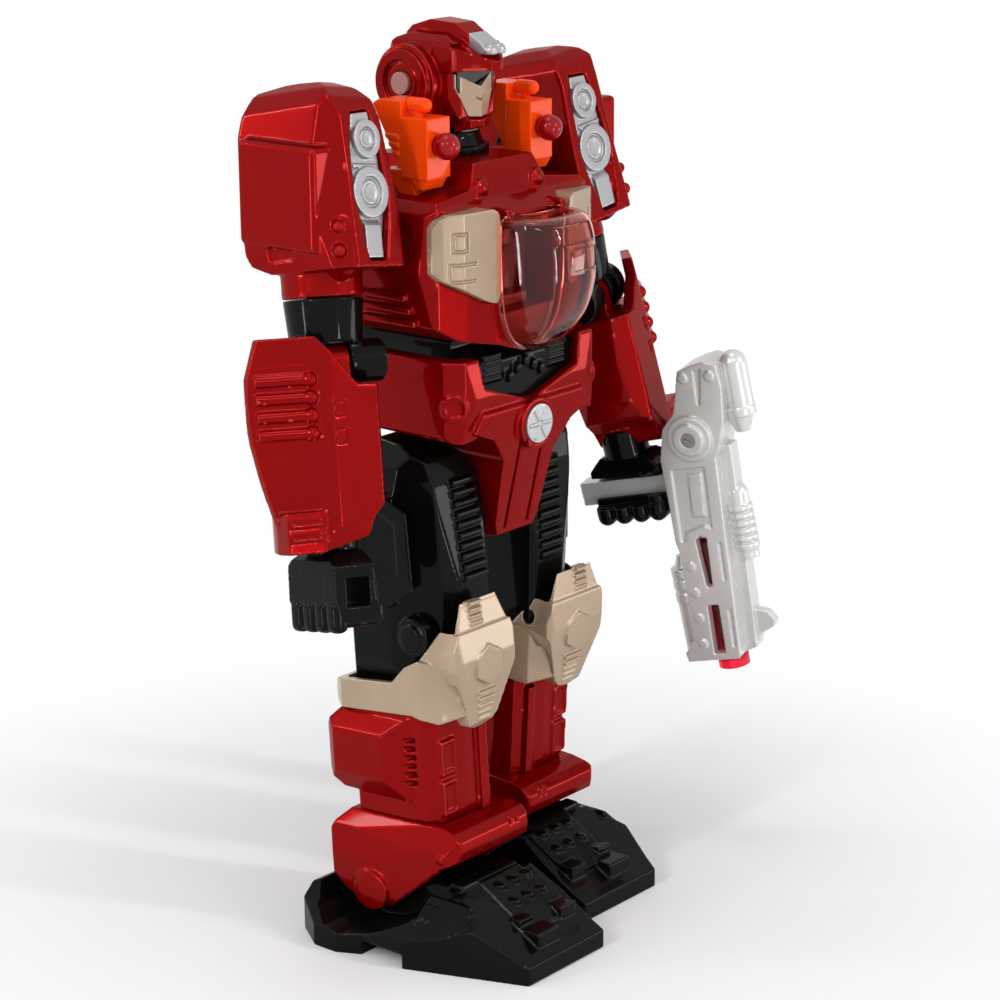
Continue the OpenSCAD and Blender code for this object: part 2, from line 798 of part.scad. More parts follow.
grip = [8, 8.5];    // depth and height of the blaster's grip
grip_gap = 0.3;
fist_z = -13.4;     // height of the grip's axis below the wrist
module fist() {
    difference() {
        union() {
            translate([0, 0, -1]) cylinder(r = peg_r, h = 17.6);
            translate([0, 0, -1]) cylinder(r = wrist_r, h = 10);
            intersection() {
                box([-13.5, -10, -26], [13.5, 9, -0.4]);
                side_cut([[-5.4, -0.4], [5.4, -0.4], [8.6, -3], [9, -16], [6.6, -22], [-2, -24.6], [-8, -22], [-8, -17.6],
                    [-6.4, -17.4], [-6.4, -3]], -14, 14);
                front_cut([[-9, -0.4], [9, -0.4], [13.5, -5], [13.5, -22], [11, -25], [-11, -25], [-13.5, -22],
                    [-13.5, -5]], -14, 14);
            }
            for (i = [0:3]) translate([-10.2 + 6.8 * i, 0, 0]) {
                bar_y(3.3, -7.4, 3, 0, -21.4);
                translate([0, -7.4, -21.4]) sphere(r = 3.3);
                translate([0, -7.4, -21.4]) cylinder(r = 3.3, h = 3.4);
            }
            // thumb wrapped over the front end
            translate([10.6, -6.4, -18.4]) rotate([0, -8, 0]) cylinder(r = 3, h = 12);
        }
        box([-30, -grip[0] / 2 - grip_gap, fist_z - grip[1] / 2 - grip_gap],
            [30, grip[0] / 2 + grip_gap, fist_z + grip[1] / 2 + grip_gap]);
        for (i = [0:2]) box([-7 + 6.8 * i, 4, -16], [-6.6 + 6.8 * i, 12, -4]);
    }
}

// ---------- blaster ----------

// Frame of the grip: X runs along it through the fist
module grip_frame() {
    arm_frame(left) elbow_frame() translate([wrist[0], wrist[1], -59 + fist_z]) rotate([0, 0, wrist_yaw]) children();
}

// Frame of the blaster's body: the muzzle points down, the body lies beyond the fist
module blaster_frame() {
    grip_frame() rotate([0, blaster_tilt, 0]) children();
}

// Outline of the body's flat face, [x, z]
face_outline = [[28, 43], [34, 45], [38.5, 45.8], [43, 44], [43.6, 36], [42, 24], [38, 13], [36.4, 11], [31.4, -63],
    [30.6, -64.6], [10.6, -65.4], [10, -62], [14.6, -57], [15.6, -24], [14.7, -20], [15.1, 0], [15.2, 11], [17.2, 18.6],
    [18.2, 22.4], [20.8, 25], [23.4, 27.5], [25.8, 35]];
boss = [28.4, 18.6];
module blaster_shell() {
    half = blaster_t / 2;
    color("#c9cac8") {
        grip_frame() box([-20, -grip[0] / 2, -grip[1] / 2], [18, grip[0] / 2, grip[1] / 2]);
        blaster_frame() difference() {
            union() {
                front_cut(face_outline, -half, half);
                bar_y(8.1, -half - 1.6, half + 1.6, boss[0], boss[1]);
                bar_y(5.6, -half - 2.8, half + 2.8, boss[0], boss[1]);
                // rounded cylinder along the back
                translate([46.4, 0, 26.6]) cylinder(r = 4.8, h = 16);
                translate([46.4, 0, 42.6]) sphere(r = 4.8);
                translate([46.2, 0, 24]) cylinder(r = 5.2, h = 3);
                translate([45.6, 0, 18]) cylinder(r1 = 2.6, r2 = 4.8, h = 6.2);
                // rail under the barrel
                front_cut([[34, 14], [41, 14], [37.4, -50], [36.4, -62], [30, -64], [30, 0]], -3.4, 3.4);
                fore_grip();
                // sight fin at the muzzle
                front_cut([[34, -62.6], [37.8, -59.6], [38.2, -57.6], [43.6, -55], [44.7, -52.6], [42.5, -49.2],
                    [38, -48], [34, -48.2]], -1.8, 1.8);
                side_tube();
                for (i = [0:3]) for (s = [-1, 1]) translate([18.9 - 0.36 * i, s * half, -29 - 9.8 * i])
                    rotate([90, 0, 0]) cylinder(r = 1.6, h = 1, center = true);
                for (s = [-1, 1]) for (x = [29.8, 40]) bar_y(1.7, s * half - 0.7, s * half + 0.7, x, 40.6);
            }
            for (s = [-1, 1]) translate([0, s * half, 0]) face_recesses();
            translate([23.6, 0, -70]) cylinder(r = light_r, h = 50);
            for (s = [-1, 1]) bar_y(2.6, s * (half + 2.8) - 0.8, s * (half + 2.8) + 0.8, boss[0], boss[1]);
            bar_y(button_r + run_gap, half - 4, half + 2, 33, 34);
        }
    }
}

// Recesses and slots of one flat face
module face_recesses() {
    difference() {
        front_cut([[18.5, 7.4], [31.4, 7.8], [29.8, -15.4], [27.3, -13.8], [19.8, -16.2], [18.8, -19.5], [17, -19.8]],
            -0.7, 0.7);
        front_cut([[24.6, 5.4], [29.6, 5.4], [28, -10.4], [23.4, -10.4]], -1, 1);
    }
    front_cut([[22.6, -19.2], [24.8, -17.6], [27, -18.6], [25.8, -36.4], [24.4, -37.4], [23.4, -36.6]], -4.4, 4.4);
    front_cut([[22.2, -44], [26.6, -43.8], [25.8, -62.4], [21.4, -62.6]], -4.4, 4.4);
    front_cut([[31, -20.4], [32.2, -20.4], [31.4, -34.6], [30.2, -34.6]], -0.7, 0.7);
    front_cut([[29.9, -45.8], [31.1, -45.8], [30.3, -59.8], [29.1, -59.8]], -0.7, 0.7);
    front_cut([[34, 43], [37, 43.4], [34.4, 30.4], [33.2, 30.4]], -0.5, 0.5);
}

// Ribbed fore grip in front of the rail
module fore_grip() {
    translate([38.6, 0, -28.6]) {
        cylinder(r = 4, h = 24);
        translate([0, 0, 24]) sphere(r = 4);
        cylinder(r1 = 3, r2 = 4.6, h = 4);
        for (i = [0:5]) translate([0, 0, 4 + 2.8 * i]) cylinder(r = 4.7, h = 1.7);
    }
}

// Ringed tube along the hand's side of the barrel
module side_tube() {
    translate([12.6, 0, -64.6]) {
        cylinder(r = 4.6, h = 30);
        translate([0, 0, 30]) cylinder(r1 = 4.6, r2 = 2, h = 8);
        for (z = [20.6, 25.6, 30]) translate([0, 0, z]) cylinder(r = 5, h = 3.4);
    }
}

light_r = 4;
module blaster_light() {
    color("darkred") blaster_frame() translate([23.6, 0, -67.6]) {
        cylinder(r = light_r, h = 46);
        translate([1.4, 0, -1.6]) cylinder(r = 5.7, h = 3.6);
    }
}

module blaster_screw() {
    color(silver) blaster_frame() for (s = [-1, 1]) difference() {
        bar_y(2.5, s * (blaster_t / 2 + 2.4) - 0.4, s * (blaster_t / 2 + 2.4) + 0.4, boss[0], boss[1]);
        translate([boss[0], s * (blaster_t / 2 + 2.8), boss[1]]) rotate([0, 30, 0])
            cube([4, 0.8, 0.8], center = true);
    }
}

button_r = 2.4;
module blaster_button() {
    color("#c9cac8") blaster_frame() bar_y(button_r, blaster_t / 2 - 2.4, blaster_t / 2 + 1.2, 33, 34);
}

// ---------- legs

hip_r = 5;
leg_x = 28;
leg_len = (hip_z - ankle_z) / cos(stride);

// Frame of a leg in the standing pose: origin at the hip axis, the foot's ankle straight below it
module leg_frame(side) {
    on_side(side) translate([0, leg_y, hip_z]) rotate([side * stride, 0, 0]) translate([0, 0, -hip_z]) children();
}

// A foot stays level below the swung leg
module foot_frame(side) {
    on_side(side) translate([0, leg_y + side * leg_len * sin(stride), 0]) children();
}

module hip_axle(side) {
    color(silver) on_side(side) bar_x(hip_r - run_gap, 9, 36, leg_y, hip_z);
}

thigh_front = -31;
thigh_side = [[-27, 158], [-25, 166], [-14, 171.5], [-5, 173], [3, 170], [7, 160], [11, 130], [11, 100], [8, 88],
    [-16, 88], [thigh_front, 98], [thigh_front, 124]];
module thigh_form() {
    difference() {
        union() {
            intersection() {
                side_cut(thigh_side, 12, 46);
                front_cut([[14.5, 88], [13.2, 150], [14, 160], [22, 172], [24, 173], [36, 173], [41, 164], [43.4, 140],
                    [43.4, 98], [41, 88]], -40, 40);
                plan_cut([[13, -28], [16, -31], [30, -31], [36, -27.5], [41, -16], [43.6, -10], [43.6, 6], [38, 11.5],
                    [18, 11.5], [13, 6]], 80, 180);
            }
            bar_x(6.6, 40, 44.4, -20.4, 108);
            bar_x(4.4, 43, 45.2, -20.4, 108);
            for (i = [0:9]) box([17, 0.4 * i - 32.6, 125 + 3.5 * i], [28.5, -26, 127 + 3.5 * i]);
            side_cut([[-21, 150], [-1, 160], [5, 134], [5, 122], [-9, 116], [-22, 124]], 43, 44.2);
        }
        bar_x(hip_r, 10, 40, 0, hip_z);
        side_cut([[-16, 146], [-5, 151], [0, 132], [-16, 128]], 43.8, 45);
    }
}

module thigh(side) {
    color(black) leg_frame(side) thigh_form();
}

// Knee cap: front plate, side walls and the band that runs back round the top of the shin
knee_front = [[20.2, 121.4], [37.2, 122], [41, 111.3], [42, 110.8], [44.6, 101], [35.6, 77.5], [31, 75.5], [24, 77.5],
    [21.4, 80], [12.4, 101], [15.4, 110.8], [16.4, 111.3]];
knee_side = [[-36.4, 122], [-38.4, 111.2], [-39.2, 110.8], [-40.4, 101], [-36.4, 78], [-35, 76], [-31.6, 77],
    [-28, 90], [-23.6, 98], [-23.6, 101], [-31, 111], [-34.4, 122]];
module knee_cap(side) {
    color(gold) leg_frame(side) {
        difference() {
            union() {
                difference() {
                    cap_form();
                    // room for the knee
                    box([15.6, -36.6, 84], [41.4, -18, 130]);
                }
                band();
                for (i = [0:3]) box([28.5, -38.8, 112.4 + 2.3 * i], [34.5, -35, 113.3 + 2.3 * i]);
                translate([28.5, -39.4, 98]) rotate([90, 0, 0]) rotate([0, 0, 30]) cylinder(r = 7, h = 1.4, $fn = 6);
                for (i = [0:4])
                    box([24 + 0.4 * i, 0.6 * i - 39.4, 88 - 2.4 * i], [33 - 0.4 * i, -35, 89.2 - 2.4 * i]);
            }
            front_cut([[10, 111.2], [50, 111.2], [50, 110.8], [10, 110.8]], -60, -38);
            bar_x(2.6, 8, 15.7, -30, 104);
            thigh_form();
        }
        bar_y(4, -36.7, thigh_front, 28.5, 104);
    }
}

module cap_form() {
    intersection() {
        side_cut(knee_side, 0, 60);
        front_cut(knee_front, -60, 0);
        plan_cut([[12, -22], [13.4, -38.4], [15.5, -40.5], [41.5, -40.5], [43.4, -38.4], [44.8, -22]], 70, 130);
    }
}

module band() {
    intersection() {
        side_cut([[-37, 82], [-37, 92], [-33, 99], [-24, 101], [-18, 98], [-12, 92], [8, 90.4], [16, 88.6], [17, 86],
            [17, 81], [14, 79.6], [-10, 81], [-20, 81.6], [-30, 79.4]], 8, 50);
        difference() {
            plan_cut([[22, -38], [35, -38], [43.4, -31], [46.4, -24], [46.4, 11], [42, 17], [14, 17], [10, 11],
                [10.6, -24], [13.4, -31]], 70, 110);
            plan_cut([[20, -34], [37, -34], [42, -27], [44, -20], [44, 9], [41, 12.2], [15, 12.2], [12, 9],
                [12, -20], [15, -27]], 60, 110);
        }
    }
}

shin_front_y = -27;
shin_top = 88;
cuff_top = 43.4;
module shin(side) {
    color(red) leg_frame(side) difference() {
        union() {
            intersection() {
                side_cut([[shin_front_y, 80], [shin_front_y, 46], [shin_front_y + 1, cuff_top], [12, cuff_top],
                    [12, shin_top], [-10, shin_top], [-22, shin_top]], 0, 60);
                plan_cut([[12, -18], [14, -24.6], [20, -26.4], [28, shin_front_y], [40, -26.4], [43, -21], [44, -14],
                    [44, 8], [40, 12], [16, 12], [12, 8]], 30, 100);
            }
            // lobe round the outer side and the back
            intersection() {
                side_cut([[-17, 79], [14, 79], [19.6, 73], [19.6, 57], [14, 50.6], [-16, 50.6], [-19, 57], [-19, 73]], 0, 60);
                front_cut([[14, 79], [44, 79], [49, 73], [49, 58], [44.6, 50.6], [14, 49]], -40, 40);
                union() {
                    plan_cut([[30, -20], [42.5, -19], [46, -13], [49, -8], [49, 14], [45, 19.6], [30, 19.6]], 40, 90);
                    plan_cut([[18, 10], [40, 10], [40, 19.6], [20, 19.6], [16, 16]], 40, 90);
                }
            }
            box([18, -28.4, cuff_top], [22, -26, 76]);
            for (i = [0:1]) box([33.4, -27.8, 46 + 14 * i], [40.6, -25.6, 58 + 14 * i]);
        }
        for (i = [0:1]) box([34.6, -29, 47.2 + 14 * i], [39.4, -27, 56.8 + 14 * i]);
        // arched vent on the front outer corner
        translate([44.6, -16, 64]) rotate([0, 0, 35]) vent();
    }
}

module vent() {
    for (i = [0:5]) box([-4, -1, -8 + 3 * i], [2, 1.4, -6.4 + 3 * i]);
}

cuff_side = [[21, 31], [17, 39], [12, 43.4], [-29, 43.4], [-34, 42.4], [-37, 40], [-37.6, 36.4], [-36, 32.6], [-30, 30],
    [-20, 22], [-8, 13], [-4, 11], [5, 11], [10, 15], [21, 24]];
ankle_pin_r = 2.5;
module ankle_cuff(side) {
    color(red) leg_frame(side) difference() {
        union() {
            intersection() {
                side_cut(cuff_side, 0, 60);
                front_cut([[9, 43.6], [8.6, 34], [10, 12], [12, 10], [47, 10], [50, 16], [51, 28], [48.4, 38], [44, 43.6]],
                    -60, 40);
                plan_cut([[9, -36], [10.6, -37.8], [44, -37.8], [48, -34], [48.6, -26], [50, -8], [51, 4], [51, 16],
                    [45, 21.4], [12, 19], [8.6, 10]], 0, 60);
            }
            bar_x(7.2, 45, 51.6, 0, ankle_axis);
            translate([44, -31, 34]) rotate([0, 90, 0]) cylinder(r = 1.5, h = 5);
        }
        // room for the foot's ankle block
        box([13, -33.4, 0], [43, 20, 30.4]);
        box([13, -40, 0], [43, -33, 30.6]);
        bar_x(ankle_pin_r, 0, 60, 0, ankle_axis);
        for (i = [0:1]) box([15 + 3 * i, -39, 38.6], [16.2 + 3 * i, -35.8, 42]);
    }
}
ankle_axis = hip_z - leg_len;

module ankle_pin(side) {
    color(silver) leg_frame(side) bar_x(ankle_pin_r, 9, 50.6, 0, ankle_axis);
}

foot_side = [[-66, 0], [-66, 6.5], [-60, 9.4], [-34.4, 24], [-34, 25.4], [-29, 25.6], [-28, 24], [-12, 23.4], [11, 24],
    [16, 19], [24, 16], [25.5, 5], [24, 0]];
foot_plan = [[6, -66], [46, -66], [62, -24], [62, -6], [66, 2], [66, 12], [58, 24], [14, 25.5], [6, 17]];
module foot(side) {
    color(black) foot_frame(side) difference() {
        union() {
            intersection() {
                side_cut(foot_side, 0, 70);
                plan_cut(foot_plan, -1, 60);
                front_cut([[4, -1], [4, 8], [8, 24], [13.7, 28], [42.3, 28], [44, 24], [58, 12], [66, 8], [66.5, -1]],
                    -80, 70);
            }
            // lugs and tread panel on the instep
            box([10, -57, 8], [18, -49, 16]);
            box([25, -62, 6], [36, -53, 13.8]);
            box([29, -54, 6], [36, -50, 16.4]);
            side_cut([[-56, 8], [-56, 13], [-35, 25], [-35, 8]], 10, 34);
            for (x = [15, 22, 29]) for (y = [-46, -39.6])
                translate([x, y, 14]) cylinder(r = 1.8, h = 0.2 + 12 / 21 * (y + 56));
        }
        // arch under the foot
        box([-1, -24, -1], [80, -6, 5]);
        ankle_room();
        bar_x(ankle_pin_r + run_gap, 0, 70, 0, ankle_z);
    }
}

// Space that the cuff and its side cheeks sweep as the foot tilts
module ankle_room() {
    for (x = [[0, 13.7], [42.3, 80]])
        side_cut([[-44, 60], [-44, 26], [-33, 22.6], [-20, 13], [-8, 8], [0, 6.8], [8, 8], [16, 11], [24, 20], [32, 34],
            [32, 60]], x[0], x[1]);
}

// ---------- assembly ----------

chest_front();
chest_back();
chest_plate(left);  // chest_plate_left
chest_plate(right);  // chest_plate_right
cockpit_tub();
canopy();
neck_post();
waist_core();
pelvis_shell();
belt_disc();
battery_door();
shell_screws();
gearbox();
battery_cells();
speaker();
power_switch();
helmet();
crest_lamp();
visor_band();
face_guard();
ear_discs();
launcher(left);  // launcher_left
launcher(right);  // launcher_right
missile(left);  // missile_left
missile(right);  // missile_right
launch_button(left);  // launch_button_left
launch_button(right);  // launch_button_right
shoulder_axle(left);  // shoulder_axle_left
shoulder_axle(right);  // shoulder_axle_right
shoulder_pod(left);  // shoulder_pod_left
shoulder_pod(right);  // shoulder_pod_right
lamp_panel(left);  // lamp_panel_left
lamp_panel(right);  // lamp_panel_right
upper_arm(left);  // upper_arm_left
upper_arm(right);  // upper_arm_right
forearm(left);  // forearm_left
forearm(right);  // forearm_right
elbow_pin(left);  // elbow_pin_left
elbow_pin(right);  // elbow_pin_right
hand(left);  // hand_left
hand(right);  // hand_right
blaster_shell();
blaster_light();
blaster_button();
blaster_screw();
thigh(left);  // thigh_left
thigh(right);  // thigh_right
knee_cap(left);  // knee_cap_left
knee_cap(right);  // knee_cap_right
shin(left);  // shin_left
shin(right);  // shin_right
ankle_cuff(left);  // ankle_cuff_left
ankle_cuff(right);  // ankle_cuff_right
foot(left);  // foot_left
foot(right);  // foot_right
hip_axle(left);  // hip_axle_left
hip_axle(right);  // hip_axle_right
ankle_pin(left);  // ankle_pin_left
ankle_pin(right);  // ankle_pin_right
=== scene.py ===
import json
import math

import bpy
from mathutils import Euler, Matrix, Vector

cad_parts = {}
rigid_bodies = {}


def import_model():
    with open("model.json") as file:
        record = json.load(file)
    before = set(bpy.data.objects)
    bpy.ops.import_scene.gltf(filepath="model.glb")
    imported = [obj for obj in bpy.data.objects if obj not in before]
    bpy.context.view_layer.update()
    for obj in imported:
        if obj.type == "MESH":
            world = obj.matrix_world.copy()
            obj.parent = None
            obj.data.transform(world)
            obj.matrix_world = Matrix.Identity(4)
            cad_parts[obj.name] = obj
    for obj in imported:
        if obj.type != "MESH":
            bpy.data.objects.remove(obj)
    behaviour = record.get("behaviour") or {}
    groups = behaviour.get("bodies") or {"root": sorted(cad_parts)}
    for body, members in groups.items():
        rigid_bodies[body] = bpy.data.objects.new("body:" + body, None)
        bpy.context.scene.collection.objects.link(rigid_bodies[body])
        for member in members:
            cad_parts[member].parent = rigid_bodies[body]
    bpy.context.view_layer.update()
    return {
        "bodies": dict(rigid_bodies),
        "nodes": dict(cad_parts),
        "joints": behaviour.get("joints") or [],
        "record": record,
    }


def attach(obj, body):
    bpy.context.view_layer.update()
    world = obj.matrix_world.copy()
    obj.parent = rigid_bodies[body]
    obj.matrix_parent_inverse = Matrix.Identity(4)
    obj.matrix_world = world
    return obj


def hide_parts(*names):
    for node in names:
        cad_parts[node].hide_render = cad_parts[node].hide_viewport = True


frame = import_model()
nodes = frame["nodes"]
bodyOf = {n: b for b, members in frame["record"]["behaviour"]["bodies"].items() for n in members}
slotOf = {s["node"]: s["material_slot"] for s in frame["record"]["subparts"]}
mm = 0.001


# camera, lights and floor

cameraSet = {"place": (-0.7043, -0.6095, 0.4060), "azimuth": -50.09, "elevation": 15.75, "roll": -0.5,
             "lens": 102.15, "sensor": 36}


def addCamera(c):
    data = bpy.data.cameras.new("camera")
    data.lens, data.sensor_width = c["lens"], c["sensor"]
    data.clip_start, data.clip_end = 0.01, 50
    cam = bpy.data.objects.new("camera", data)
    bpy.context.scene.collection.objects.link(cam)
    look = Euler((math.radians(90 - c["elevation"]), 0, math.radians(c["azimuth"]))).to_matrix()
    turn = Matrix.Rotation(math.radians(c["roll"]), 3, "Z")
    cam.location = c["place"]
    cam.rotation_euler = (look @ turn).to_euler()
    bpy.context.scene.camera = cam


lampSet = [
    {"name": "leftStrip", "at": (-1.15, -0.05, 0.80), "size": (0.045, 0.42), "power": 4.4},
    {"name": "leftHigh", "at": (-0.85, -0.75, 1.05), "size": (0.4, 0.12), "power": 2.0},
    {"name": "frontStrip", "at": (0.35, -1.15, 0.75), "size": (0.045, 0.42), "power": 4.2},
    {"name": "rearStrip", "at": (-0.75, 0.95, 0.6), "size": (0.05, 0.6), "power": 2.0},
    {"name": "topSoft", "at": (-0.1, 0.0, 1.2), "size": (0.3, 0.3), "power": 1.3},
    {"name": "lowLeft", "at": (-0.60, 0.16, 0.14), "size": (0.04, 0.24), "power": 0.6},
    {"name": "lowFront", "at": (-0.11, -0.62, 0.14), "size": (0.04, 0.24), "power": 0.6},
    {"name": "toeSoft", "at": (0.62, -0.66, 0.10), "size": (0.3, 0.16), "power": 0.9},
]
aimAt = Vector((0, 0, 0.16))


def addLamps(lamps):
    for lamp in lamps:
        data = bpy.data.lights.new(lamp["name"], "AREA")
        data.shape, data.size, data.size_y = "RECTANGLE", *lamp["size"]
        data.energy = lamp["power"]
        obj = bpy.data.objects.new(lamp["name"], data)
        obj.location = lamp["at"]
        obj.rotation_euler = (Vector(lamp["at"]) - aimAt).to_track_quat("Z", "Y").to_euler()
        bpy.context.scene.collection.objects.link(obj)


# shader sums written as plain expressions

class Wire:
    def __init__(self, tree, socket):
        self.tree, self.socket = tree, socket

    def sum(self, operation, other=None, flip=False):
        node = self.tree.nodes.new("ShaderNodeMath")
        node.operation = operation
        order = (other, self) if flip else (self, other)
        for i, value in enumerate(order):
            if isinstance(value, Wire):
                self.tree.links.new(value.socket, node.inputs[i])
            elif value is not None:
                node.inputs[i].default_value = value
        return Wire(self.tree, node.outputs[0])

    def __add__(self, other):
        return self.sum("ADD", other)

    def __sub__(self, other):
        return self.sum("SUBTRACT", other)

    def __rsub__(self, other):
        return self.sum("SUBTRACT", other, True)

    def __mul__(self, other):
        return self.sum("MULTIPLY", other)

    __radd__ = __add__
    __rmul__ = __mul__


class Finish:
    def __init__(self, name):
        self.material = bpy.data.materials.new(name)
        self.material.use_nodes = True
        self.tree = self.material.node_tree
        self.shader = self.tree.nodes["Principled BSDF"]
        self.place = self.add("TexCoord", {}, {}, "Object")

    def add(self, kind, settings, inputs, output=0):
        node = self.tree.nodes.new("ShaderNode" + kind)
        for key, value in settings.items():
            setattr(node, key, value)
        for key, value in inputs.items():
            self.feed(node.inputs[key], value)
        return Wire(self.tree, node.outputs[output])

    def feed(self, socket, value):
        if isinstance(value, Wire):
            self.tree.links.new(value.socket, socket)
        else:
            socket.default_value = value

    def set(self, **values):
        for key, value in values.items():
            self.feed(self.shader.inputs[key.replace("_", " ")], value)
        return self

    def noise(self, size, detail=2, rough=0.5):
        return self.add("TexNoise", {}, {"Vector": self.place, "Scale": 1 / size, "Detail": detail,
                                         "Roughness": rough})

    def mix(self, factor, a, b):
        return self.add("Mix", {"data_type": "RGBA"}, {"Factor": factor, 6: a, 7: b}, 2)

    def bump(self, height, distance, strength=1.0):
        return self.add("Bump", {}, {"Height": height, "Distance": distance, "Strength": strength})


def rgb(r, g, b):
    return (r, g, b, 1)


# finishes

# each look's edge colour and its share are a painted highlight along convex edges
redLook = {"deep": rgb(0.18, 0.0002, 0.0005), "bright": rgb(0.29, 0.001, 0.0015), "metal": 0.5, "rough": 0.24,
           "specular": 0.03, "tint": rgb(0.7, 0.03, 0.03), "coat": 0.15, "coatRough": 0.03,
           "edge": rgb(0.85, 0.08, 0.07), "highlightShare": 0.6}
blackLook = {"deep": rgb(0.0015, 0.0015, 0.0012), "bright": rgb(0.0035, 0.0035, 0.003), "metal": 0.0,
             "rough": 0.3, "specular": 0.02, "coat": 0.18, "coatRough": 0.03, "edge": rgb(0.06, 0.06, 0.055)}
goldLook = {"deep": rgb(0.29, 0.205, 0.13), "bright": rgb(0.47, 0.35, 0.245), "metal": 0.35, "rough": 0.32,
            "specular": 0.3, "coat": 0.3, "coatRough": 0.06, "edge": rgb(0.8, 0.64, 0.5)}
silverLook = {"deep": rgb(0.30, 0.30, 0.31), "bright": rgb(0.46, 0.46, 0.47), "metal": 0.7, "rough": 0.34,
              "specular": 0.4, "coat": 0.2, "coatRough": 0.2}
greyLook = {"deep": rgb(0.56, 0.56, 0.55), "bright": rgb(0.70, 0.70, 0.68), "metal": 0.35, "rough": 0.3,
            "specular": 0.4, "coat": 0.2, "coatRough": 0.2}
orangeLook = {"deep": rgb(0.90, 0.045, 0.002), "bright": rgb(1.0, 0.09, 0.003), "metal": 0.0, "rough": 0.25,
              "specular": 0.08, "coat": 0.1, "coatRough": 0.1}
crimsonLook = {"deep": rgb(0.24, 0.001, 0.003), "bright": rgb(0.38, 0.002, 0.006), "metal": 0.1, "rough": 0.2,
               "specular": 0.1, "coat": 0.25, "coatRough": 0.05}
roseLook = {"deep": rgb(0.30, 0.13, 0.11), "bright": rgb(0.45, 0.21, 0.18), "metal": 0.3, "rough": 0.3,
            "specular": 0.4, "coat": 0.5, "coatRough": 0.1}
tubLook = {"deep": rgb(0.12, 0.003, 0.005), "bright": rgb(0.20, 0.006, 0.009), "metal": 0.0, "rough": 0.3,
           "specular": 0.4, "coat": 0.3, "coatRough": 0.1}
steelLook = {"deep": rgb(0.40, 0.40, 0.40), "bright": rgb(0.55, 0.55, 0.55), "metal": 1.0, "rough": 0.32,
             "specular": 0.5, "coat": 0.0, "coatRough": 0.1}
nylonLook = {"deep": rgb(0.50, 0.49, 0.44), "bright": rgb(0.62, 0.61, 0.55), "metal": 0.0, "rough": 0.5,
             "specular": 0.4, "coat": 0.0, "coatRough": 0.1}
cellLook = {"deep": rgb(0.02, 0.07, 0.03), "bright": rgb(0.04, 0.12, 0.05), "metal": 0.2, "rough": 0.3,
            "specular": 0.4, "coat": 0.3, "coatRough": 0.1}

# sizes in metres of the patterns, and how strong the painted highlight on convex edges and the painted shade
# in corners and hollows are
surface = {"flow": 0.03, "fleck": 0.0006, "flowShare": 0.75, "peel": 0.0028, "peelDepth": 0.00003,
           "smear": 0.012, "smearDepth": 0.1, "edgeFrom": 0.525, "edgeTo": 0.6, "highlightShare": 0.4,
           "cornerFrom": 0.49, "cornerTo": 0.43, "shadeShare": 0.55, "shadeTone": 0.3}


def mouldedPlastic(name, look):
    # pearl flow in the colour, fine orange peel in the surface, a painted highlight on convex edges and
    # painted shade in hollows
    f, c = Finish(name), surface
    pearl = f.noise(c["flow"], 3, 0.6) * c["flowShare"] + f.noise(c["fleck"], 1) * (1 - c["flowShare"])
    point = f.add("NewGeometry", {}, {}, "Pointiness")
    # painted highlight: convex edges, found by pointiness, are lightened towards the look's edge colour
    edgeHighlight = f.add("MapRange", {}, {"Value": point, "From Min": c["edgeFrom"], "From Max": c["edgeTo"],
                                    "To Max": look.get("highlightShare", c["highlightShare"])})
    # painted shade: hollows and corners, found by pointiness, are darkened towards a dark copy of the deep
    # colour
    cornerShade = f.add("MapRange", {}, {"Value": point, "From Min": c["cornerFrom"], "From Max": c["cornerTo"],
                                    "To Max": c["shadeShare"]})
    withHighlight = f.mix(edgeHighlight, f.mix(pearl, look["deep"], look["bright"]), look.get("edge", look["bright"]))
    f.set(Base_Color=f.mix(cornerShade, withHighlight, darker(look["deep"], c["shadeTone"])), Metallic=look["metal"],
          Roughness=look["rough"] + (f.noise(c["smear"], 3) - 0.5) * c["smearDepth"],
          Coat_Weight=look["coat"], Coat_Roughness=look["coatRough"], Specular_IOR_Level=look["specular"],
          Specular_Tint=look.get("tint", rgb(1, 1, 1)),
          Normal=f.bump(f.noise(c["peel"], 2), c["peelDepth"], 0.5))
    return f.material


def darker(colour, share):
    return rgb(*[part * share for part in colour[:3]])


def clearPlastic(name, colour, rough):
    f = Finish(name)
    f.set(Base_Color=f.mix(f.noise(0.02, 2), colour, darker(colour, 0.9)), Transmission_Weight=1.0, IOR=1.35,
          Roughness=rough + f.noise(0.01, 2) * 0.03, Normal=f.bump(f.noise(0.006, 1), 0.00004, 0.5))
    return f.material


# a finish for each material slot
finishOf = {
    "red_shell": mouldedPlastic("pearlRed", redLook),
    "black_plastic": mouldedPlastic("glossBlack", blackLook),
    "gold_plastic": mouldedPlastic("champagneGold", goldLook),
    "silver_plastic": mouldedPlastic("silverPaint", silverLook),
    "grey_plastic": mouldedPlastic("pearlGrey", greyLook),
    "orange_plastic": mouldedPlastic("launcherOrange", orangeLook),
    "crimson_plastic": mouldedPlastic("missileRed", crimsonLook),
    "rose_plastic": mouldedPlastic("earRose", roseLook),
    "dark_red": mouldedPlastic("cockpitRed", tubLook),
    "steel": mouldedPlastic("screwSteel", steelLook),
    "white_nylon": mouldedPlastic("gearNylon", nylonLook),
    "battery_wrap": mouldedPlastic("cellWrap", cellLook),
    "speaker_black": mouldedPlastic("speakerBlack", blackLook),
    "clear_amber": clearPlastic("canopyClear", rgb(0.76, 0.30, 0.25), 0.01),
    "clear_red": clearPlastic("lightRed", rgb(0.6, 0.01, 0.03), 0.08),
}


# softened copies of the moulded parts, which keep this share of their triangles
keptShare = 0.4


